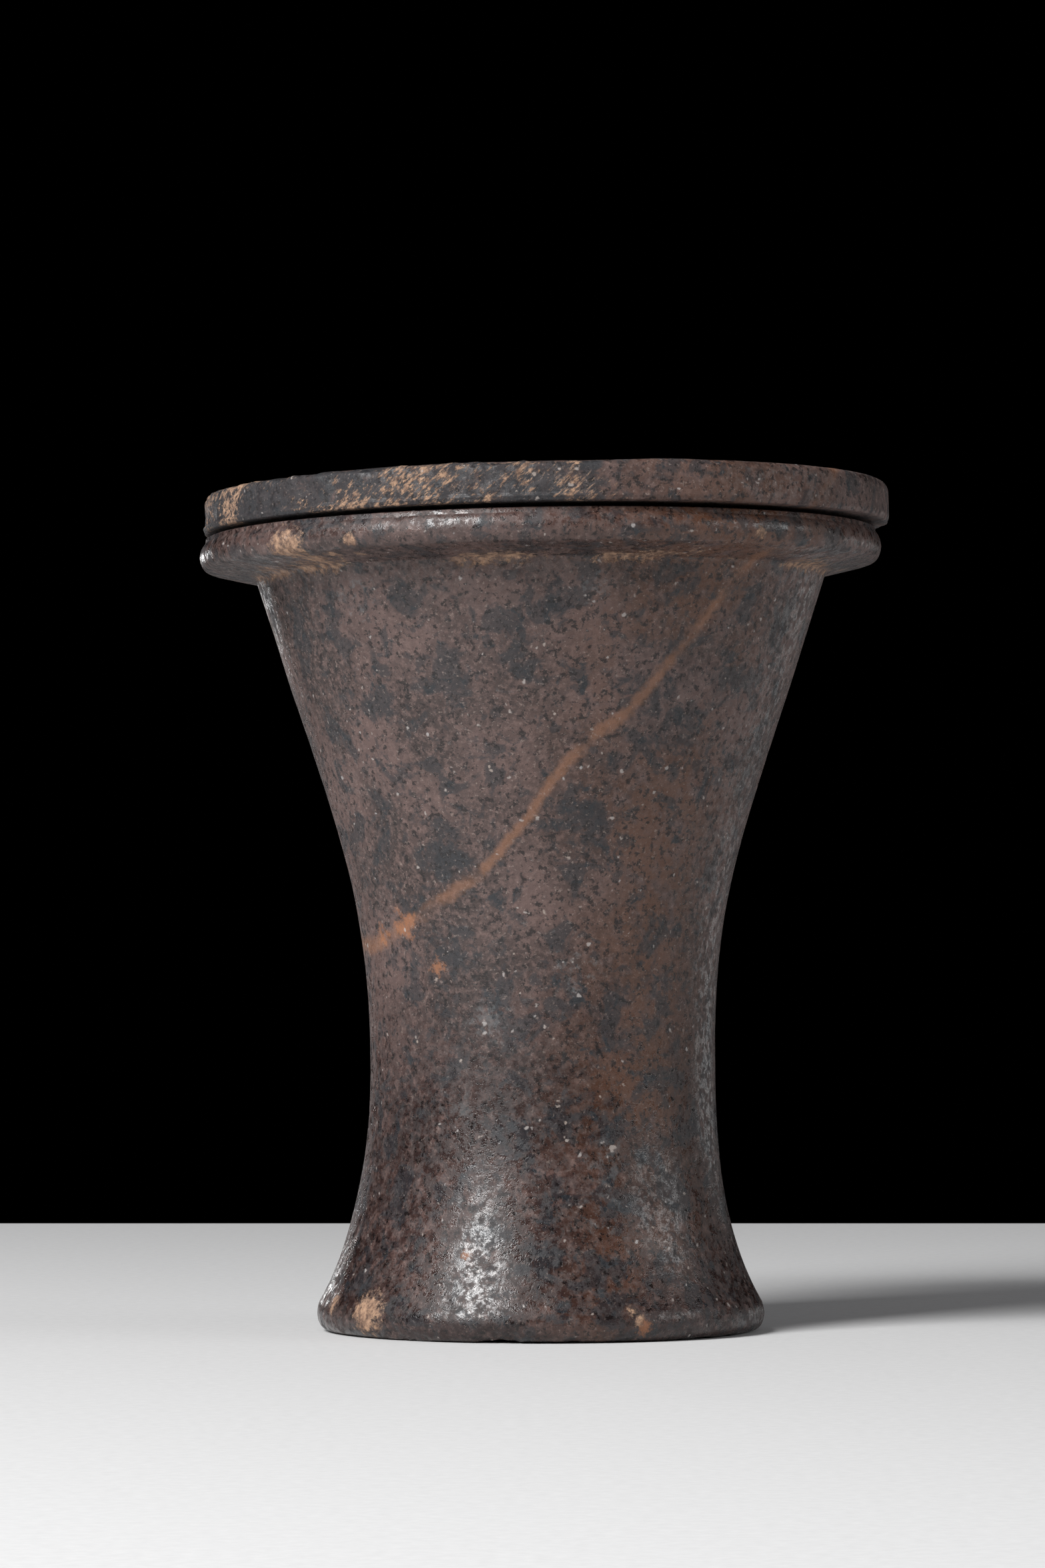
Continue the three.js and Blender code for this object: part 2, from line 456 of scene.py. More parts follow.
def chip_depths(chips, seed):
    """Depth of edge chips by angle: a flat-bottomed bell for each (degrees, half width, depth)."""
    depth = np.zeros(ANGLES)
    for middle, half_width, deepest in chips:
        off = np.abs((around - middle + 180) % 360 - 180)
        depth = np.maximum(depth, deepest * (1 - smooth_step(off, half_width * 0.6, half_width * 1.3)))
    return depth * (0.7 + 0.6 * layered_noise(ring(RIM_RADIUS), 1.2, seed))


def broken_edge(grid, corner_radius, corner_height, depth, upwards):
    """Cuts a corner back: what lies beyond a slanted plane, depth inside the corner, goes onto it."""
    radius = reach(grid)
    rise = grid[..., 2] - corner_height if upwards else corner_height - grid[..., 2]
    excess = np.clip(radius - corner_radius + rise + depth, 0.0, None) * (depth > 0) / 2
    shrink = np.where(radius > 0.01, 1 - excess / np.maximum(radius, 0.01), 1.0)
    lower = -excess if upwards else excess
    return np.stack([grid[..., 0] * shrink, grid[..., 1] * shrink, grid[..., 2] + lower], axis=-1)


def seat_tilt(grid):
    """Shears the jar up by the seat's slope times x, times the height share to the fourth power."""
    rise = SEAT_SLOPE * grid[..., 0] * (np.clip(grid[..., 2], 0, None) / JAR_HEIGHT) ** TILT_SHARPNESS
    return np.stack([grid[..., 0], grid[..., 1], grid[..., 2] + rise], axis=-1)


print("seat rises across the rim, mm:", round(SEAT_SLOPE * RIM_RADIUS * 2, 2))

# %% [markdown]
# The jar's surface
#
# The smooth section is made real in steps. First come broad unevenness from hand rubbing, weaker
# on the rim, then shallow pits, and a rim that is worn and leans in slightly towards its top. All
# of them go inwards, so the jar stays inside its true size. Then the foot's lower edge gets its
# chips, and the waist drifts a little to the right, as it does on the real jar.

# %% Jar surface
BROAD_DEPTH = 0.16
FAINT_DEPTH = 0.03
PIT_DEPTH = 0.06
RIM_EVENNESS = 0.75
RIM_WEAR = 0.1
RIM_LEAN = 0.14
WAIST_DRIFT = 0.16
WAIST_DRIFT_REACH = 10.0

jar_grid = turned_grid(jar_outline)
jar_rows = np.arange(len(jar_outline))[:, None]
is_outside = (jar_rows > jar_ends["base"] - 2) & (jar_rows < jar_ends["rim edge"] - 1)
broad = BROAD_DEPTH * layered_noise(jar_grid, 9.0, seed=11, layers=2)
broad = broad + FAINT_DEPTH * layered_noise(jar_grid, 2.6, seed=12)
pits = smooth_step(layered_noise(jar_grid, 1.1, seed=13), 0.62, 0.8)
near_rim = smooth_step(jar_grid[..., 2], neck[1], JAR_HEIGHT - 0.6)
rim_wear = near_rim * layered_noise(jar_grid, 2.8, seed=14)
rim_lean = smooth_step(jar_grid[..., 2], rim_lower[1] + 0.8, JAR_HEIGHT - 0.1)
rim_lean = rim_lean * smooth_step(reach(jar_grid), NECK_RADIUS + 2, RIM_RADIUS - 0.8)
sunk = broad * (1 - RIM_EVENNESS * near_rim) + PIT_DEPTH * pits + RIM_WEAR * rim_wear + RIM_LEAN * rim_lean
jar_grid = pushed(jar_grid, jar_outline, -sunk * is_outside)
foot_rough = 0.5 + layered_noise(jar_grid, 0.9, seed=15)
foot_depth = chip_depths(FOOT_CHIPS, seed=21) * foot_rough
jar_grid = broken_edge(jar_grid, FOOT_RADIUS, 0.0, foot_depth, upwards=False)
drift = np.exp(-(((jar_grid[..., 2] - WAIST_HEIGHT) / WAIST_DRIFT_REACH) ** 2))
jar_grid[..., 0] += WAIST_DRIFT * drift
jar_grid[..., 2] = np.clip(jar_grid[..., 2], 0.0, None)
print("deepest hollow on the outside, mm:", round(float((sunk * is_outside).max()), 2))

# %% [markdown]
# The jar's fields and mesh
#
# Crusts sit at their marked places, and in patches round the hollow between wall and rim, where
# nothing rubs them off. The well and the edge of its mouth are stained dark by the paint. The
# fields are worked out before the seat is tilted, and then the jar becomes one closed mesh.

# %% Build the jar
JUNCTION_CRUST = 0.75
JUNCTION_HEIGHT = neck[1] + 0.3
JUNCTION_SPREAD = 0.55
STAIN_REACH = MOUTH_RADIUS + 1.2
WELL_FLOOR = WELL_FLOOR_CENTRE - WELL_FLOOR_RADIUS

in_well = (reach(jar_grid) < STAIN_REACH) & (jar_grid[..., 2] > WELL_FLOOR - 0.1)
junction = np.exp(-(((jar_grid[..., 2] - JUNCTION_HEIGHT) / JUNCTION_SPREAD) ** 2))
junction = junction * smooth_step(layered_noise(jar_grid, 4.5, seed=31), 0.38, 0.62)
jar_fields = {
    "vein": vein_field(jar_grid),
    "band": band_field(jar_grid),
    "crust": np.maximum(mark_field(jar_grid, CRUSTS), JUNCTION_CRUST * junction * is_outside),
    "pale": mark_field(jar_grid, PALE_CLUSTERS),
    "dark": mark_field(jar_grid, DARK_PATCHES),
    "orange": mark_field(jar_grid, ORANGE_SPOTS),
    "stain": np.where(in_well, 1.0 - 0.35 * layered_noise(jar_grid, 2.0, seed=33), 0.0),
    "worn": 0.35 * pits,
    "polish": polish_field(jar_grid),
}
jar_grid = seat_tilt(jar_grid)
jar = closed_mesh("stone_jar", jar_grid, jar_fields)
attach(jar, "jar")
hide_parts("jar_body")

# %% [markdown]
# The lid's section
#
# The lid is a disc with a short plug underneath that drops into the mouth. Its section runs from
# the middle of the plug's end, out under the disc, round the edge and back over the top. The top
# has closer rows near the edge, where flakes have split off.

# %% Lid outline
LID_RADIUS = 24.6
LID_THICKNESS = 2.95
LID_TOP_ROUND = 0.9
LID_UNDER_ROUND = 0.5
LID_GAP = 0.35
LID_SHIFT = 0.4
LID_OUTER_TOP = 4.0
PLUG_RADIUS = MOUTH_RADIUS - 0.8
PLUG_LENGTH = 1.8
PLUG_ROUND = 0.3

plug_flat = (PLUG_RADIUS - PLUG_ROUND, -PLUG_LENGTH)
plug_side = (PLUG_RADIUS, PLUG_ROUND - PLUG_LENGTH)
plug_top = (PLUG_RADIUS, 0.0)
under_flat = (LID_RADIUS - LID_UNDER_ROUND, 0.0)
under_side = (LID_RADIUS, LID_UNDER_ROUND)
top_side = (LID_RADIUS, LID_THICKNESS - LID_TOP_ROUND)
top_flat = (LID_RADIUS - LID_TOP_ROUND, LID_THICKNESS)
top_inner = (LID_RADIUS - LID_OUTER_TOP, LID_THICKNESS)
lid_stretches = {
    "plug end": ([(0, -PLUG_LENGTH), plug_flat], 8),
    "plug edge": ([plug_flat, (PLUG_RADIUS, -PLUG_LENGTH), plug_side], 4),
    "plug side": ([plug_side, plug_top], 5),
    "underside": ([plug_top, under_flat], 26),
    "lower edge": ([under_flat, (LID_RADIUS, 0.0), under_side], 8),
    "side": ([under_side, top_side], 12),
    "upper edge": ([top_side, (LID_RADIUS, LID_THICKNESS), top_flat], 14),
    "outer top": ([top_flat, top_inner], 14),
    "inner top": ([top_inner, (0, LID_THICKNESS)], 50),
}
lid_outline = chain(lid_stretches)
lid_ends = last_rows(lid_stretches)
print("lid outline rows:", len(lid_outline))

# %% [markdown]
# The lid's broken edge
#
# From its left side round to just past the front the lid's edge is broken: the stone there split
# off in small steps and was never polished again. On the right the edge is still round and
# smooth. The broken part is made by cutting the upper edge back to a slanted plane whose depth
# changes along the edge, and by roughening the side. The underside keeps its size but for four
# small chips in the lower edge, so that the gap over the seat stays thin and even.

# %% Lid surface
BROKEN_FROM = -150.0
BROKEN_TO = 14.0
DEEPEST_AT = -62.0
DEEPEST_WIDTH = 42.0
EVEN_LOWER_ROWS = 3
LOWER_CHIPS = [(-82, 5, 0.35), (-40, 4, 0.25), (97, 6, 0.5), (160, 7, 0.4)]

lid_grid = turned_grid(lid_outline)
lid_rows = np.arange(len(lid_outline))[:, None]
past_seat = lid_rows > lid_ends["underside"] + EVEN_LOWER_ROWS
near_edge = smooth_step(reach(lid_grid), LID_RADIUS - 2.4, LID_RADIUS - 0.6)
near_edge = near_edge * (lid_rows >= lid_ends["lower edge"])
split = smooth_step(around, BROKEN_FROM - 12, BROKEN_FROM + 12)
split = split * (1 - smooth_step(around, BROKEN_TO - 16, BROKEN_TO + 8))
steps_along = layered_noise(ring(LID_RADIUS), 1.6, seed=41, layers=2)
deepest_left = np.exp(-(((around - DEEPEST_AT) / DEEPEST_WIDTH) ** 2))
split_depth = split * (0.14 + 0.3 * deepest_left * steps_along + 0.36 * steps_along)
nicks = 0.25 * smooth_step(layered_noise(ring(LID_RADIUS), 2.0, seed=42), 0.55, 0.8)
split_depth = split_depth + (1 - split) * nicks
lid_broad = 0.1 * layered_noise(lid_grid, 8.0, seed=43) + 0.06 * layered_noise(lid_grid, 2.2, seed=44)
side_coarse = 0.2 * layered_noise(lid_grid, 1.6, seed=45, layers=2)
side_fine = 0.2 * layered_noise(lid_grid, 0.8, seed=46, layers=1)
lid_sunk = lid_broad * past_seat + split * (side_coarse + side_fine) * near_edge
lid_grid = pushed(lid_grid, lid_outline, -lid_sunk)
facets = 0.1 + 1.8 * layered_noise(lid_grid, 0.8, seed=47, layers=1)
lid_grid = broken_edge(lid_grid, LID_RADIUS, LID_THICKNESS, split_depth * facets, upwards=True)
lid_grid = broken_edge(lid_grid, LID_RADIUS, 0.0, chip_depths(LOWER_CHIPS, seed=48), upwards=False)
print("deepest split at the lid's edge, mm:", round(float(split_depth.max()), 2))

# %% [markdown]
# The lid in its place
#
# The lid was worked out level, about its own axis. It is turned by the seat's slope, lifted onto
# the seat and moved a little to the right, where it lies on the real jar. Its fields use that
# place, so that the vein and the bands go on from the jar into the lid.

# %% Build the lid
lid_tilt = math.atan(SEAT_SLOPE)
turned_x = lid_grid[..., 0] * math.cos(lid_tilt) - lid_grid[..., 2] * math.sin(lid_tilt)
turned_z = lid_grid[..., 0] * math.sin(lid_tilt) + lid_grid[..., 2] * math.cos(lid_tilt)
lid_rest = JAR_HEIGHT + LID_GAP + SEAT_SLOPE * LID_SHIFT
lid_placed = np.stack([turned_x + LID_SHIFT, lid_grid[..., 1], turned_z + lid_rest], axis=-1)
rough_stone = split * smooth_step(reach(lid_grid), LID_RADIUS - 2.2, LID_RADIUS - 0.8)
crusted_stone = rough_stone * smooth_step(layered_noise(lid_placed, 5.0, seed=51), 0.25, 0.6)
lid_fields = {
    "vein": vein_field(lid_placed),
    "band": 0.7 * band_field(lid_placed),
    "crust": 0.66 * crusted_stone,
    "pale": np.zeros_like(rough_stone),
    "dark": 1.3 * rough_stone,
    "orange": np.zeros_like(rough_stone),
    "stain": np.where(lid_rows <= lid_ends["plug side"], 0.8, 0.0) * np.ones(ANGLES),
    "worn": 0.3 + 0.3 * rough_stone,
    "polish": 0.5 * rough_stone,
}
lid = closed_mesh("stone_lid", lid_placed, lid_fields)
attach(lid, "lid")
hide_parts("lid")

# %% [markdown]
# The kohl
#
# What is left of the eye paint is a dried cake at the bottom of the well. A stick has scooped its
# middle, and drying has cracked it. It is hidden while the lid is on, and shows when the lid is
# lifted and one looks down the well. The cracks are the places where a noise crosses its middle
# value, which draws thin closed lines.

# %% Build the kohl cake
KOHL_TOP = JAR_HEIGHT - WELL_DEPTH + 13.0
KOHL_GAP = 0.3
KOHL_HOLLOW = 1.4
KOHL_BANK = 0.72
KOHL_PIT = 0.45
KOHL_BOTTOM_STEPS = 10
CRACK_DEPTH = 0.35
CRACK_WIDTH = 0.035

kohl_radius = WELL_FLOOR_RADIUS - KOHL_GAP
kohl_rim = (well_radius(KOHL_TOP) - KOHL_GAP, KOHL_TOP)
kohl_middle = (0.0, KOHL_TOP - KOHL_HOLLOW)
kohl_bank = (kohl_rim[0] * KOHL_BANK, KOHL_TOP)
kohl_pit = (kohl_rim[0] * KOHL_PIT, kohl_middle[1])
kohl_stretches = {
    "side": ([(kohl_radius, WELL_FLOOR_CENTRE), kohl_rim], 12),
    "scoop": ([kohl_rim, kohl_bank, kohl_pit, kohl_middle], 40),
}
kohl_bottom = quarter_round(kohl_radius, WELL_FLOOR_CENTRE, KOHL_BOTTOM_STEPS, upwards=True)
kohl_outline = np.vstack([kohl_bottom, chain(kohl_stretches)[1:]])
kohl_grid = turned_grid(kohl_outline)
scoop_start = KOHL_BOTTOM_STEPS + last_rows(kohl_stretches)["side"] + 1
in_scoop = (np.arange(len(kohl_outline)) > scoop_start)[:, None]
from_crack = np.abs(layered_noise(kohl_grid, 2.2, seed=61, layers=2) - 0.5)
crack = 1 - smooth_step(from_crack, 0.0, CRACK_WIDTH)
kohl_sunk = (CRACK_DEPTH * crack + 0.2 * layered_noise(kohl_grid, 0.8, seed=62)) * in_scoop
kohl_grid = seat_tilt(pushed(kohl_grid, kohl_outline, -kohl_sunk))
kohl = closed_mesh("dried_kohl", kohl_grid, {"crack": crack * in_scoop})
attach(kohl, "jar")
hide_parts("kohl_cake")

# %% [markdown]
# Writing shaders as sums
#
# A finish is easier to read as a formula than as a web of nodes. A small class wraps a socket and
# gives it plus, minus and times, and each of them adds a Math node. One method of a second class
# adds any other node from its type, its settings and what feeds its sockets.


# %% Signal helper
class Signal:
    """One number or colour on its way through a node tree."""

    def __init__(self, finish, socket):
        self.finish = finish
        self.socket = socket

    def combine(self, operation, first, second):
        """A Math node of the operation, with two signals or numbers."""
        return self.finish.node("ShaderNodeMath", {"operation": operation}, {0: first, 1: second})

    def __add__(self, other):
        return self.combine("ADD", self, other)

    def __radd__(self, other):
        return self.combine("ADD", other, self)

    def __sub__(self, other):
        return self.combine("SUBTRACT", self, other)

    def __rsub__(self, other):
        return self.combine("SUBTRACT", other, self)

    def __mul__(self, other):
        return self.combine("MULTIPLY", self, other)

    def __rmul__(self, other):
        return self.combine("MULTIPLY", other, self)

    def __abs__(self):
        return self.combine("ABSOLUTE", self, 0.0)


# %% Finish helper
class Finish:
    """The node tree of a material or a world, built up from signals that end in one shader."""

    def __init__(self, owner, shader="Principled BSDF"):
        owner.use_nodes = True
        self.owner = owner
        self.tree = owner.node_tree
        self.shader = self.tree.nodes[shader]

    def node(self, kind, settings=None, inputs=None, output=0):
        """Adds a node: its settings first, then a value or a link for each socket that is named."""
        made = self.tree.nodes.new(kind)
        for key, value in (settings or {}).items():
            setattr(made, key, value)
        for key, value in (inputs or {}).items():
            self.feed(made.inputs[key], value)
        return Signal(self, made.outputs[output])

    def feed(self, socket, value):
        """Links a signal to a socket, or sets the socket to a plain value."""
        if isinstance(value, Signal):
            self.tree.links.new(value.socket, socket)
        else:
            socket.default_value = value

    def shade(self, socket_name, value):
        """Feeds one of the shader's own sockets."""
        self.feed(self.shader.inputs[socket_name], value)

    def place(self):
        """Object coordinates in millimetres."""
        coordinates = self.node("ShaderNodeTexCoord", output="Object")
        return self.node("ShaderNodeVectorMath", {"operation": "SCALE"}, {0: coordinates, "Scale": 1 / MM})

    def stretched(self, place, turn, scale):
        """A place turned and then squeezed, so that what reads it is drawn out along one axis."""
        inputs = {"Vector": place, "Rotation": tuple(math.radians(a) for a in turn), "Scale": scale}
        return self.node("ShaderNodeMapping", {"vector_type": "TEXTURE"}, inputs)

    def noise(self, place, wavelength, detail, roughness=0.5, distortion=0.0):
        """Cloudy noise about 0.5: detail counts the finer layers, roughness sets their strength."""
        inputs = {"Vector": place, "Scale": 1 / wavelength, "Detail": detail}
        inputs.update({"Roughness": roughness, "Distortion": distortion})
        return self.node("ShaderNodeTexNoise", {"noise_dimensions": "3D"}, inputs)

    def jogged(self, place, wavelength, distance):
        """A place pushed about by up to distance, so that round grains come out crooked."""
        inputs = {"Vector": place, "Scale": 1 / wavelength, "Detail": 3.0}
        push = self.node("ShaderNodeTexNoise", {"noise_dimensions": "3D"}, inputs, "Color")
        inputs = {0: push, 1: (distance, distance, distance), 2: place}
        return self.node("ShaderNodeVectorMath", {"operation": "MULTIPLY_ADD"}, inputs)

    def grains(self, place, spacing, output):
        """Scattered points: the distance to the nearest, or a random number that goes with it."""
        inputs = {"Vector": place, "Scale": 1 / spacing, "Randomness": 1.0}
        return self.node("ShaderNodeTexVoronoi", {"feature": "F1"}, inputs, output)

    def ramp(self, value, low, high):
        """0 below low, 1 above high, and an S-shaped ramp between them."""
        inputs = {"Value": value, "From Min": low, "From Max": high, "To Min": 0.0, "To Max": 1.0}
        return self.node("ShaderNodeMapRange", {"interpolation_type": "SMOOTHSTEP"}, inputs)

    def field(self, name):
        """A number that the mesh keeps at every point."""
        return self.node("ShaderNodeAttribute", {"attribute_name": name}, output="Fac")

    def blend(self, share, under, over):
        """A colour between two colours, which a Mix node takes in its sockets 6 and 7."""
        inputs = {0: share, 6: under, 7: over}
        return self.node("ShaderNodeMix", {"data_type": "RGBA", "clamp_factor": True}, inputs, 2)

    def bump(self, height, depth_mm, strength):
        """A normal tilted as if the height, from 0 to 1, rose by depth_mm."""
        inputs = {"Height": height, "Distance": depth_mm * MM, "Strength": strength}
        return self.node("ShaderNodeBump", None, inputs)


# %% [markdown]
# Colours of the stone
#
# A shader works in linear light, while a colour here is given as a screen shows it. One
# function turns the second into the first. The names below are the stone's own colours: two
# browns for its ground, blue-blacks for its mottles, and what lies in it and on it.


# %% Stone colours
def rgb(red, green, blue):
    """A colour given as a screen shows it, from 0 to 255, made linear for the shader."""
    shares = [c / 255 for c in (red, green, blue)]
    linear = [c / 12.92 if c <= 0.04045 else ((c + 0.055) / 1.055) ** 2.4 for c in shares]
    return (*linear, 1.0)


GROUND_DEEP = rgb(50, 40, 38)
GROUND_RED = rgb(88, 70, 66)
GROUND_SPECK = rgb(104, 84, 79)
HANDLED_STONE = rgb(30, 17, 16)
RUST_BAND = rgb(88, 56, 37)
MOTTLE_BLACK = rgb(20, 21, 24)
MOTTLE_BLUE = rgb(50, 52, 56)
BLACK_GRAIN = rgb(18, 13, 13)
RUST_VEIN = rgb(132, 92, 68)
ORANGE_RUST = rgb(150, 98, 64)
WARM_FLECK = rgb(150, 126, 106)
COOL_FLECK = rgb(164, 168, 172)
PALE_DUST = rgb(146, 130, 122)
GREY_HAZE = rgb(118, 122, 124)
CRUST_BROWN = rgb(88, 66, 55)
CRUST_TAN = rgb(186, 150, 122)
PAINT_STAIN = rgb(20, 19, 20)
print("ground red, linear:", [round(c, 3) for c in GROUND_RED[:3]])

# %% [markdown]
# Ground and mottles
#
# The stone is a dense red-brown rock. Its ground drifts between two browns and is sprinkled with
# paler specks, and it is darkest where hands have worn it. Over the ground lie blue-black mottles
# of one to three millimetres, the listed dark patches, and fine black grains.


# %% Ground and mottles
def ground_colour(made, place, fine):
    """Two browns in broad patches, then specks, handled stone and rusty bands, laid over in turn."""
    patches = made.ramp(made.noise(place, 7.0, 3.0), 0.35, 0.65)
    ground = made.blend(patches, GROUND_DEEP, GROUND_RED)
    ground = made.blend(made.ramp(fine, 0.42, 0.68) * 0.75, ground, GROUND_SPECK)
    handled = made.field("polish") * made.ramp(made.noise(place, 0.8, 4.0, 0.7), 0.3, 0.56)
    ground = made.blend(handled * 0.9, ground, HANDLED_STONE)
    band = made.field("band") * made.ramp(made.noise(place, 1.5, 4.0, 0.6), 0.3, 0.55)
    return made.blend(band * 0.7, ground, RUST_BAND)


def mottled(made, place, colour, grain):
    """Large and small mottles, placed dark patches with a ragged edge, and black grains on top."""
    large = made.ramp(made.noise(place, 2.6, 5.0, 0.6, 0.5), 0.52, 0.6)
    small = made.ramp(made.noise(place, 1.1, 4.0, 0.6, 0.5), 0.57, 0.64)
    ragged = (made.noise(place, 1.4, 5.0, 0.65, 0.5) - 0.5) * 3.4
    patch = made.ramp(made.field("dark") + ragged, 0.45, 1.05)
    blue_black = made.blend(made.noise(place, 0.5, 3.0), MOTTLE_BLACK, MOTTLE_BLUE)
    colour = made.blend(large * 0.7 + small * 0.6, colour, blue_black)
    colour = made.blend(patch * 0.8, colour, blue_black)
    return made.blend(grain * 0.85, colour, BLACK_GRAIN)


# %% [markdown]
# Vein and flecks
#
# The vein is drawn where its distance field is near nought, with an edge that fine noise frays,
# and it thins out in places. Whitish flecks are scattered grains of which only some are chosen,
# each with its own size. Pale dust and a grey haze lie over them in fine patches, thinner where
# hands wore the stone.


# %% Vein and flecks
def veined(made, place, colour):
    """The vein as a band round nought of its distance field, and orange spots beside it."""
    frayed = (made.noise(place, 0.8, 5.0, 0.75) - 0.5) * 1.1
    vein = 1.0 - made.ramp(abs(made.field("vein")) + frayed, 0.05, 0.62)
    vein = vein * made.ramp(made.noise(place, 4.5, 2.0), 0.34, 0.52)
    colour = made.blend(vein * 0.6, colour, RUST_VEIN)
    ragged = (made.noise(place, 0.7, 5.0, 0.75) - 0.5) * 3.0
    orange = made.ramp(made.field("orange") + ragged, 0.5, 1.1)
    return made.blend(orange * 0.62, colour, ORANGE_RUST)


def flecked(made, place, colour):
    """Crooked grains, shown out to a size that each draws for itself, then dust and haze."""
    polish = made.field("polish")
    bent = made.jogged(place, 0.4, 0.5)
    from_grain = made.grains(bent, 0.75, "Distance")
    drawn_lot = made.grains(bent, 0.75, "Color")
    cluster = made.field("pale") * made.ramp(made.noise(place, 1.6, 3.0, 0.6), 0.35, 0.6)
    size = made.ramp(drawn_lot, 0.36, 1.0) * 0.27 + cluster * 0.2
    fleck = made.ramp(size - from_grain, 0.0, 0.12)
    tint = made.blend(made.noise(place, 2.0, 2.0), WARM_FLECK, COOL_FLECK)
    colour = made.blend(fleck * 0.75, colour, tint)
    dust = made.ramp(made.noise(place, 0.26, 3.0, 0.7), 0.58, 0.72)
    colour = made.blend(dust * (0.5 - 0.25 * polish), colour, PALE_DUST)
    haze = made.ramp(made.noise(place, 0.7, 5.0, 0.75) + cluster * 0.2, 0.6, 0.78)
    return made.blend(haze * (0.4 - 0.25 * polish), colour, GREY_HAZE)


# %% [markdown]
# Crusts
#
# Lime and earth have grown on the stone where nothing rubs it: in patches with a crumbly edge,
# and on the lid's broken edge in short slanting strokes that follow the split stone.


# %% Crusts
def crust_share(made, place, stroked):
    """The crust field plus crumbly noise, cut off at a level, and only where there is a field."""
    crumbly = made.noise(place, 0.6, 6.0, 0.78) - 0.5
    if stroked:
        drawn_out = made.stretched(place, (0, 48, 0), (0.55, 1.0, 2.0))
        crumbly = crumbly * 0.6 + (made.noise(drawn_out, 0.45, 4.0, 0.7) - 0.5) * 1.1
    crust = made.ramp(made.field("crust") + crumbly * 2.6, 0.42, 0.85)
    return crust * made.ramp(made.field("crust"), 0.02, 0.3)


def crusted(made, place, colour, crust):
    """Crust between brown and tan, and the dark stain of the paint over everything."""
    tan = made.blend(made.ramp(made.noise(place, 0.5, 4.0, 0.7), 0.3, 0.7), CRUST_BROWN, CRUST_TAN)
    colour = made.blend(crust * 0.8, colour, tan)
    return made.blend(made.field("stain") * 0.85, colour, PAINT_STAIN)


# %% [markdown]
# The stone's finish
#
# Long handling has polished the stone, and burial has pitted it, so the gloss is broken into
# small patches. Everything reads the place inside the block in millimetres, so jar and lid look
# cut from the same rock. Both use this one recipe, and the lid is a little rougher.


# %% Stone finish
def stone_gloss(made, place, base_roughness, crust):
    """Roughness: a base, duller in small patches, on worn stone, crust and stain, less where handled."""
    patchy = made.ramp(made.noise(place, 0.7, 5.0, 0.75), 0.43, 0.57)
    matte = base_roughness + 0.45 * patchy - 0.12 * made.field("polish")
    return matte + 0.3 * made.field("worn") + 0.35 * crust + 0.3 * made.field("stain")


def stone_relief(made, place, fine, grain, crust):
    """Height of the fine relief: pits, specks and crusts added, scratches and grains taken away."""
    scratch_place = made.stretched(place, (12, 0, 24), (9.0, 0.5, 0.35))
    scratches = made.ramp(made.noise(scratch_place, 0.55, 2.0), 0.6, 0.72)
    pits = made.ramp(made.noise(place, 0.5, 4.0, 0.7), 0.34, 0.52)
    height = pits * 0.5 + fine * 0.4 - scratches * 0.2 + crust * 0.8 - grain * 0.4
    return made.bump(height, depth_mm=0.035, strength=0.5)


def stone_finish(name, base_roughness, stroked):
    """Ground, mottles, vein, flecks and crusts, each laid over the last, with gloss and relief."""
    made = Finish(bpy.data.materials.new(name))
    place = made.place()
    fine = made.noise(place, 0.45, 4.0, 0.65)
    grain = made.ramp(made.noise(place, 0.5, 4.0, 0.7), 0.53, 0.62)
    crust = crust_share(made, place, stroked)
    colour = ground_colour(made, place, fine)
    colour = mottled(made, place, colour, grain)
    colour = veined(made, place, colour)
    colour = flecked(made, place, colour)
    colour = crusted(made, place, colour, crust)
    made.shade("Base Color", colour)
    made.shade("Roughness", stone_gloss(made, place, base_roughness, crust))
    made.shade("Normal", stone_relief(made, place, fine, grain, crust))
    return made.owner


jar.data.materials.append(stone_finish("polished red-brown stone", base_roughness=0.25, stroked=False))
lid.data.materials.append(stone_finish("rougher red-brown stone", base_roughness=0.36, stroked=True))
print("stone finishes:", [m.name for m in bpy.data.materials if "stone" in m.name])

# %% [markdown]
# The kohl's finish
#
# Kohl is ground lead ore or soot, pressed while wet. Dry, it is nearly black and dull, with a
# faint glitter from the ore and a dusty grey bloom between its cracks.


# %% Kohl finish
def kohl_finish():
    """Dull black with a grey bloom, painted shade in the cracks and small glittering grains."""
    made = Finish(bpy.data.materials.new("dry kohl"))
    place = made.place()
    bloom = made.ramp(made.noise(place, 1.4, 4.0, 0.6), 0.45, 0.7)
    colour = made.blend(bloom * 0.6, rgb(24, 24, 27), rgb(62, 61, 64))
    # Painted shade: the cracks are coloured near black, darker than the cake itself, on top of their cut
    # depth.
    colour = made.blend(made.field("crack"), colour, rgb(9, 9, 10))
    glitter = made.ramp(made.grains(place, 0.3, "Color"), 0.86, 0.92)
    made.shade("Base Color", made.blend(glitter * 0.5, colour, rgb(150, 152, 160)))
    made.shade("Roughness", 0.9 - glitter * 0.6)
    made.shade("Normal", made.bump(made.noise(place, 0.3, 4.0, 0.7), depth_mm=0.08, strength=0.6))
    return made.owner


kohl.data.materials.append(kohl_finish())
print("kohl finish nodes:", len(kohl.data.materials[0].node_tree.nodes))

# %% [markdown]
# The table
#
# The jar stands on a pale grey board whose back edge shows as a straight line behind the foot,
# with darkness beyond. The board is wide and reaches far forward, so that it also lights the jar
# softly from below, as a real table does.

# %% Table board
BOARD_BACK = 174.0
BOARD_FRONT = -1300.0
BOARD_HALF_WIDTH = 1200.0
BOARD_THICKNESS = 18.0

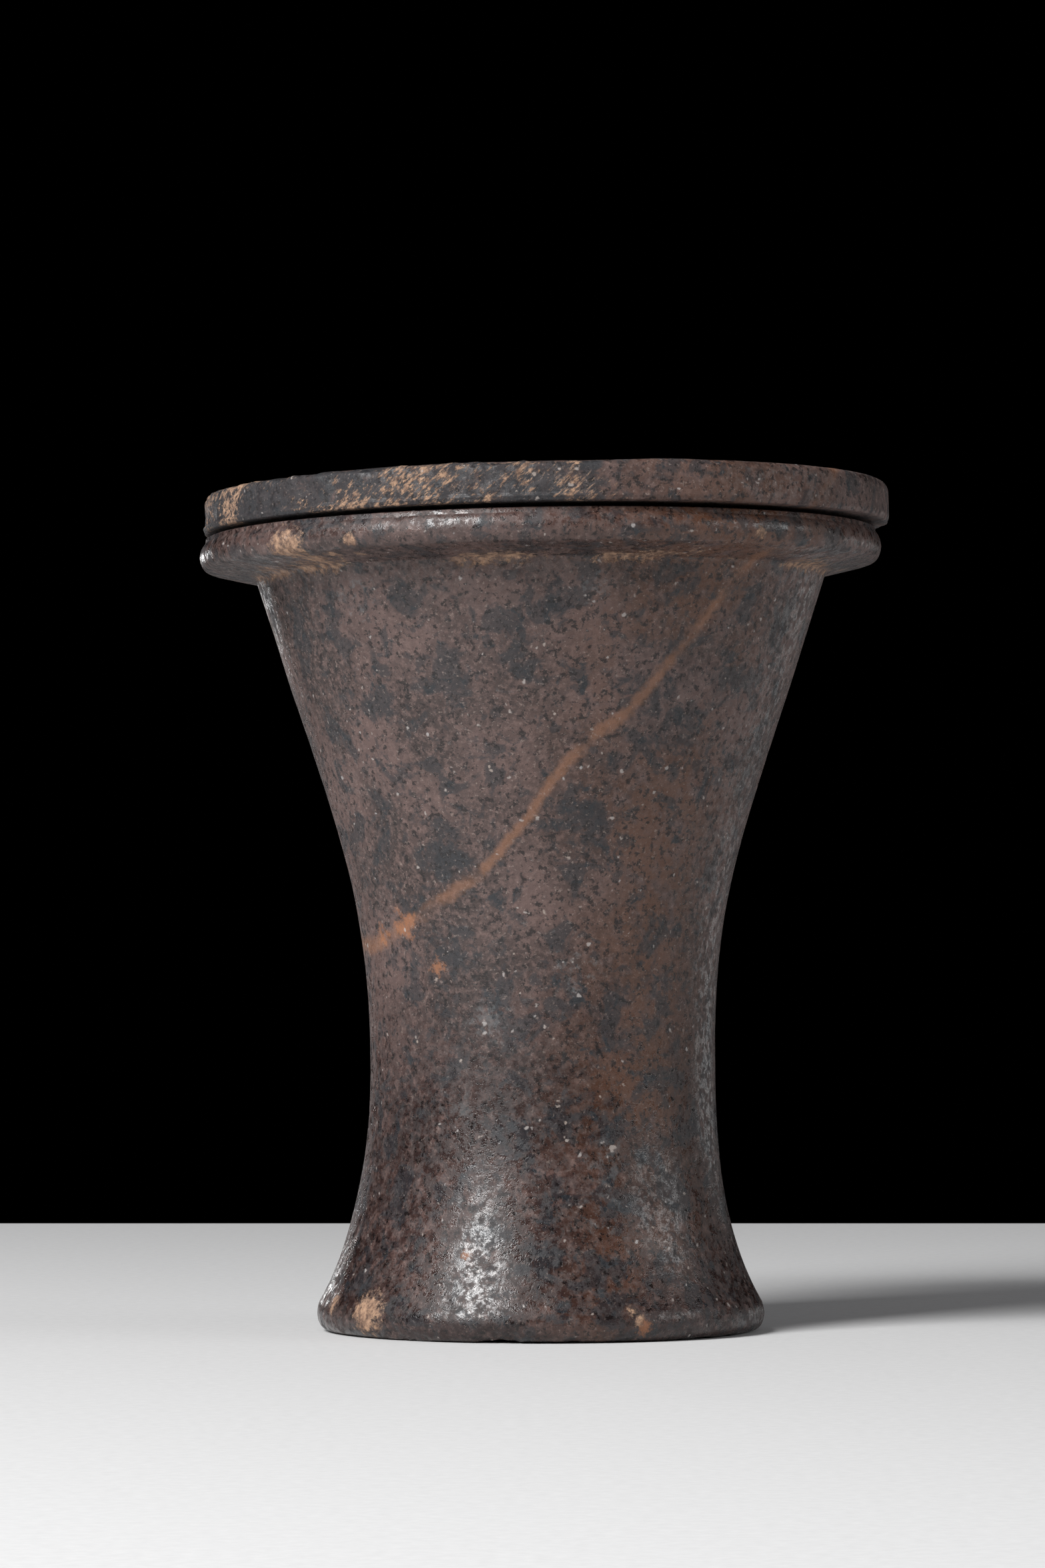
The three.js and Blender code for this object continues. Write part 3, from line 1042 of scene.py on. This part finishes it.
board_mesh = bpy.data.meshes.new("board")
corner_signs = np.array(list(itertools.product((0, 1), repeat=3)))
low_corner = np.array([-BOARD_HALF_WIDTH, BOARD_FRONT, -BOARD_THICKNESS])
high_corner = np.array([BOARD_HALF_WIDTH, BOARD_BACK, 0.0])
board_corners = np.where(corner_signs == 1, high_corner, low_corner) * MM
board_faces = [(0, 1, 3, 2), (4, 6, 7, 5), (0, 4, 5, 1), (2, 3, 7, 6), (0, 2, 6, 4), (1, 5, 7, 3)]
board_mesh.from_pydata(board_corners.tolist(), [], board_faces)
board = bpy.data.objects.new("board", board_mesh)
bpy.context.scene.collection.objects.link(board)


def board_finish():
    """Pale grey paint with a faint fine tooth."""
    made = Finish(bpy.data.materials.new("pale board"))
    tooth = made.noise(made.place(), 0.8, 3.0, 0.6)
    made.shade("Base Color", made.blend(tooth, rgb(205, 205, 205), rgb(222, 222, 222)))
    made.shade("Roughness", 0.7)
    made.shade("Normal", made.bump(tooth, depth_mm=0.03, strength=0.3))
    return made.owner


board_mesh.materials.append(board_finish())
print("board, mm:", BOARD_HALF_WIDTH * 2, "wide, back edge", BOARD_BACK, "behind the jar's axis")

# %% [markdown]
# The lamps
#
# One tall soft lamp at the front left does most of the work: it gives the bright patch on the
# foot and along the rim, and throws the shadow to the right. A small strip behind on the left
# lights the left outline, a weak panel behind on the right gives the right edges a sheen, and a
# wide soft lamp on the right lifts the shaded side. All four point at the middle of the jar.

# %% Lights
AIM_HEIGHT = 28.0


def lamp(name, towards, distance, width, height, watts):
    """An oblong area lamp, distance away from the jar's middle in the direction given."""
    data = bpy.data.lights.new(name, "AREA")
    data.shape = "RECTANGLE"
    data.size = width * MM
    data.size_y = height * MM
    data.energy = watts
    made = bpy.data.objects.new(name, data)
    direction = Vector(towards).normalized()
    made.location = Vector((0, 0, AIM_HEIGHT * MM)) + direction * distance * MM
    made.rotation_mode = "QUATERNION"
    made.rotation_quaternion = direction.to_track_quat("Z", "Y")
    bpy.context.scene.collection.objects.link(made)


lamp("tall key", (-0.53, -0.60, 0.59), distance=620, width=200, height=380, watts=6.0)
lamp("left strip", (-0.36, 0.93, 0.08), distance=520, width=30, height=50, watts=0.1)
lamp("right panel", (0.70, 0.71, -0.04), distance=600, width=300, height=90, watts=0.08)
lamp("right fill", (0.96, -0.22, 0.30), distance=600, width=420, height=170, watts=0.8)
print("lamps:", [light.name for light in bpy.data.lights])

# %% [markdown]
# The room
#
# A dim grey room fills the shadows with soft light. Where the camera or a glossy surface would
# see it, the room is black, as in the photograph, so that no grey shows behind the jar or in its
# polish.

# %% Room
ROOM_GREY = (0.11, 0.11, 0.115, 1.0)
ROOM_SEEN = (0.0, 0.0, 0.0, 1.0)
SEEN_BY = ["Is Camera Ray", "Is Glossy Ray", "Is Transmission Ray"]

room = Finish(bpy.data.worlds.new("studio"), "Background")
camera_ray, glossy_ray, passing_ray = [room.node("ShaderNodeLightPath", output=kind) for kind in SEEN_BY]
seen = camera_ray.combine("MAXIMUM", camera_ray, glossy_ray)
seen = seen.combine("MAXIMUM", seen, passing_ray)
room.shade("Color", room.blend(seen, ROOM_GREY, ROOM_SEEN))
bpy.context.scene.world = room.owner
bpy.context.scene.view_settings.view_transform = "Standard"
print("room grey:", ROOM_GREY[:3])
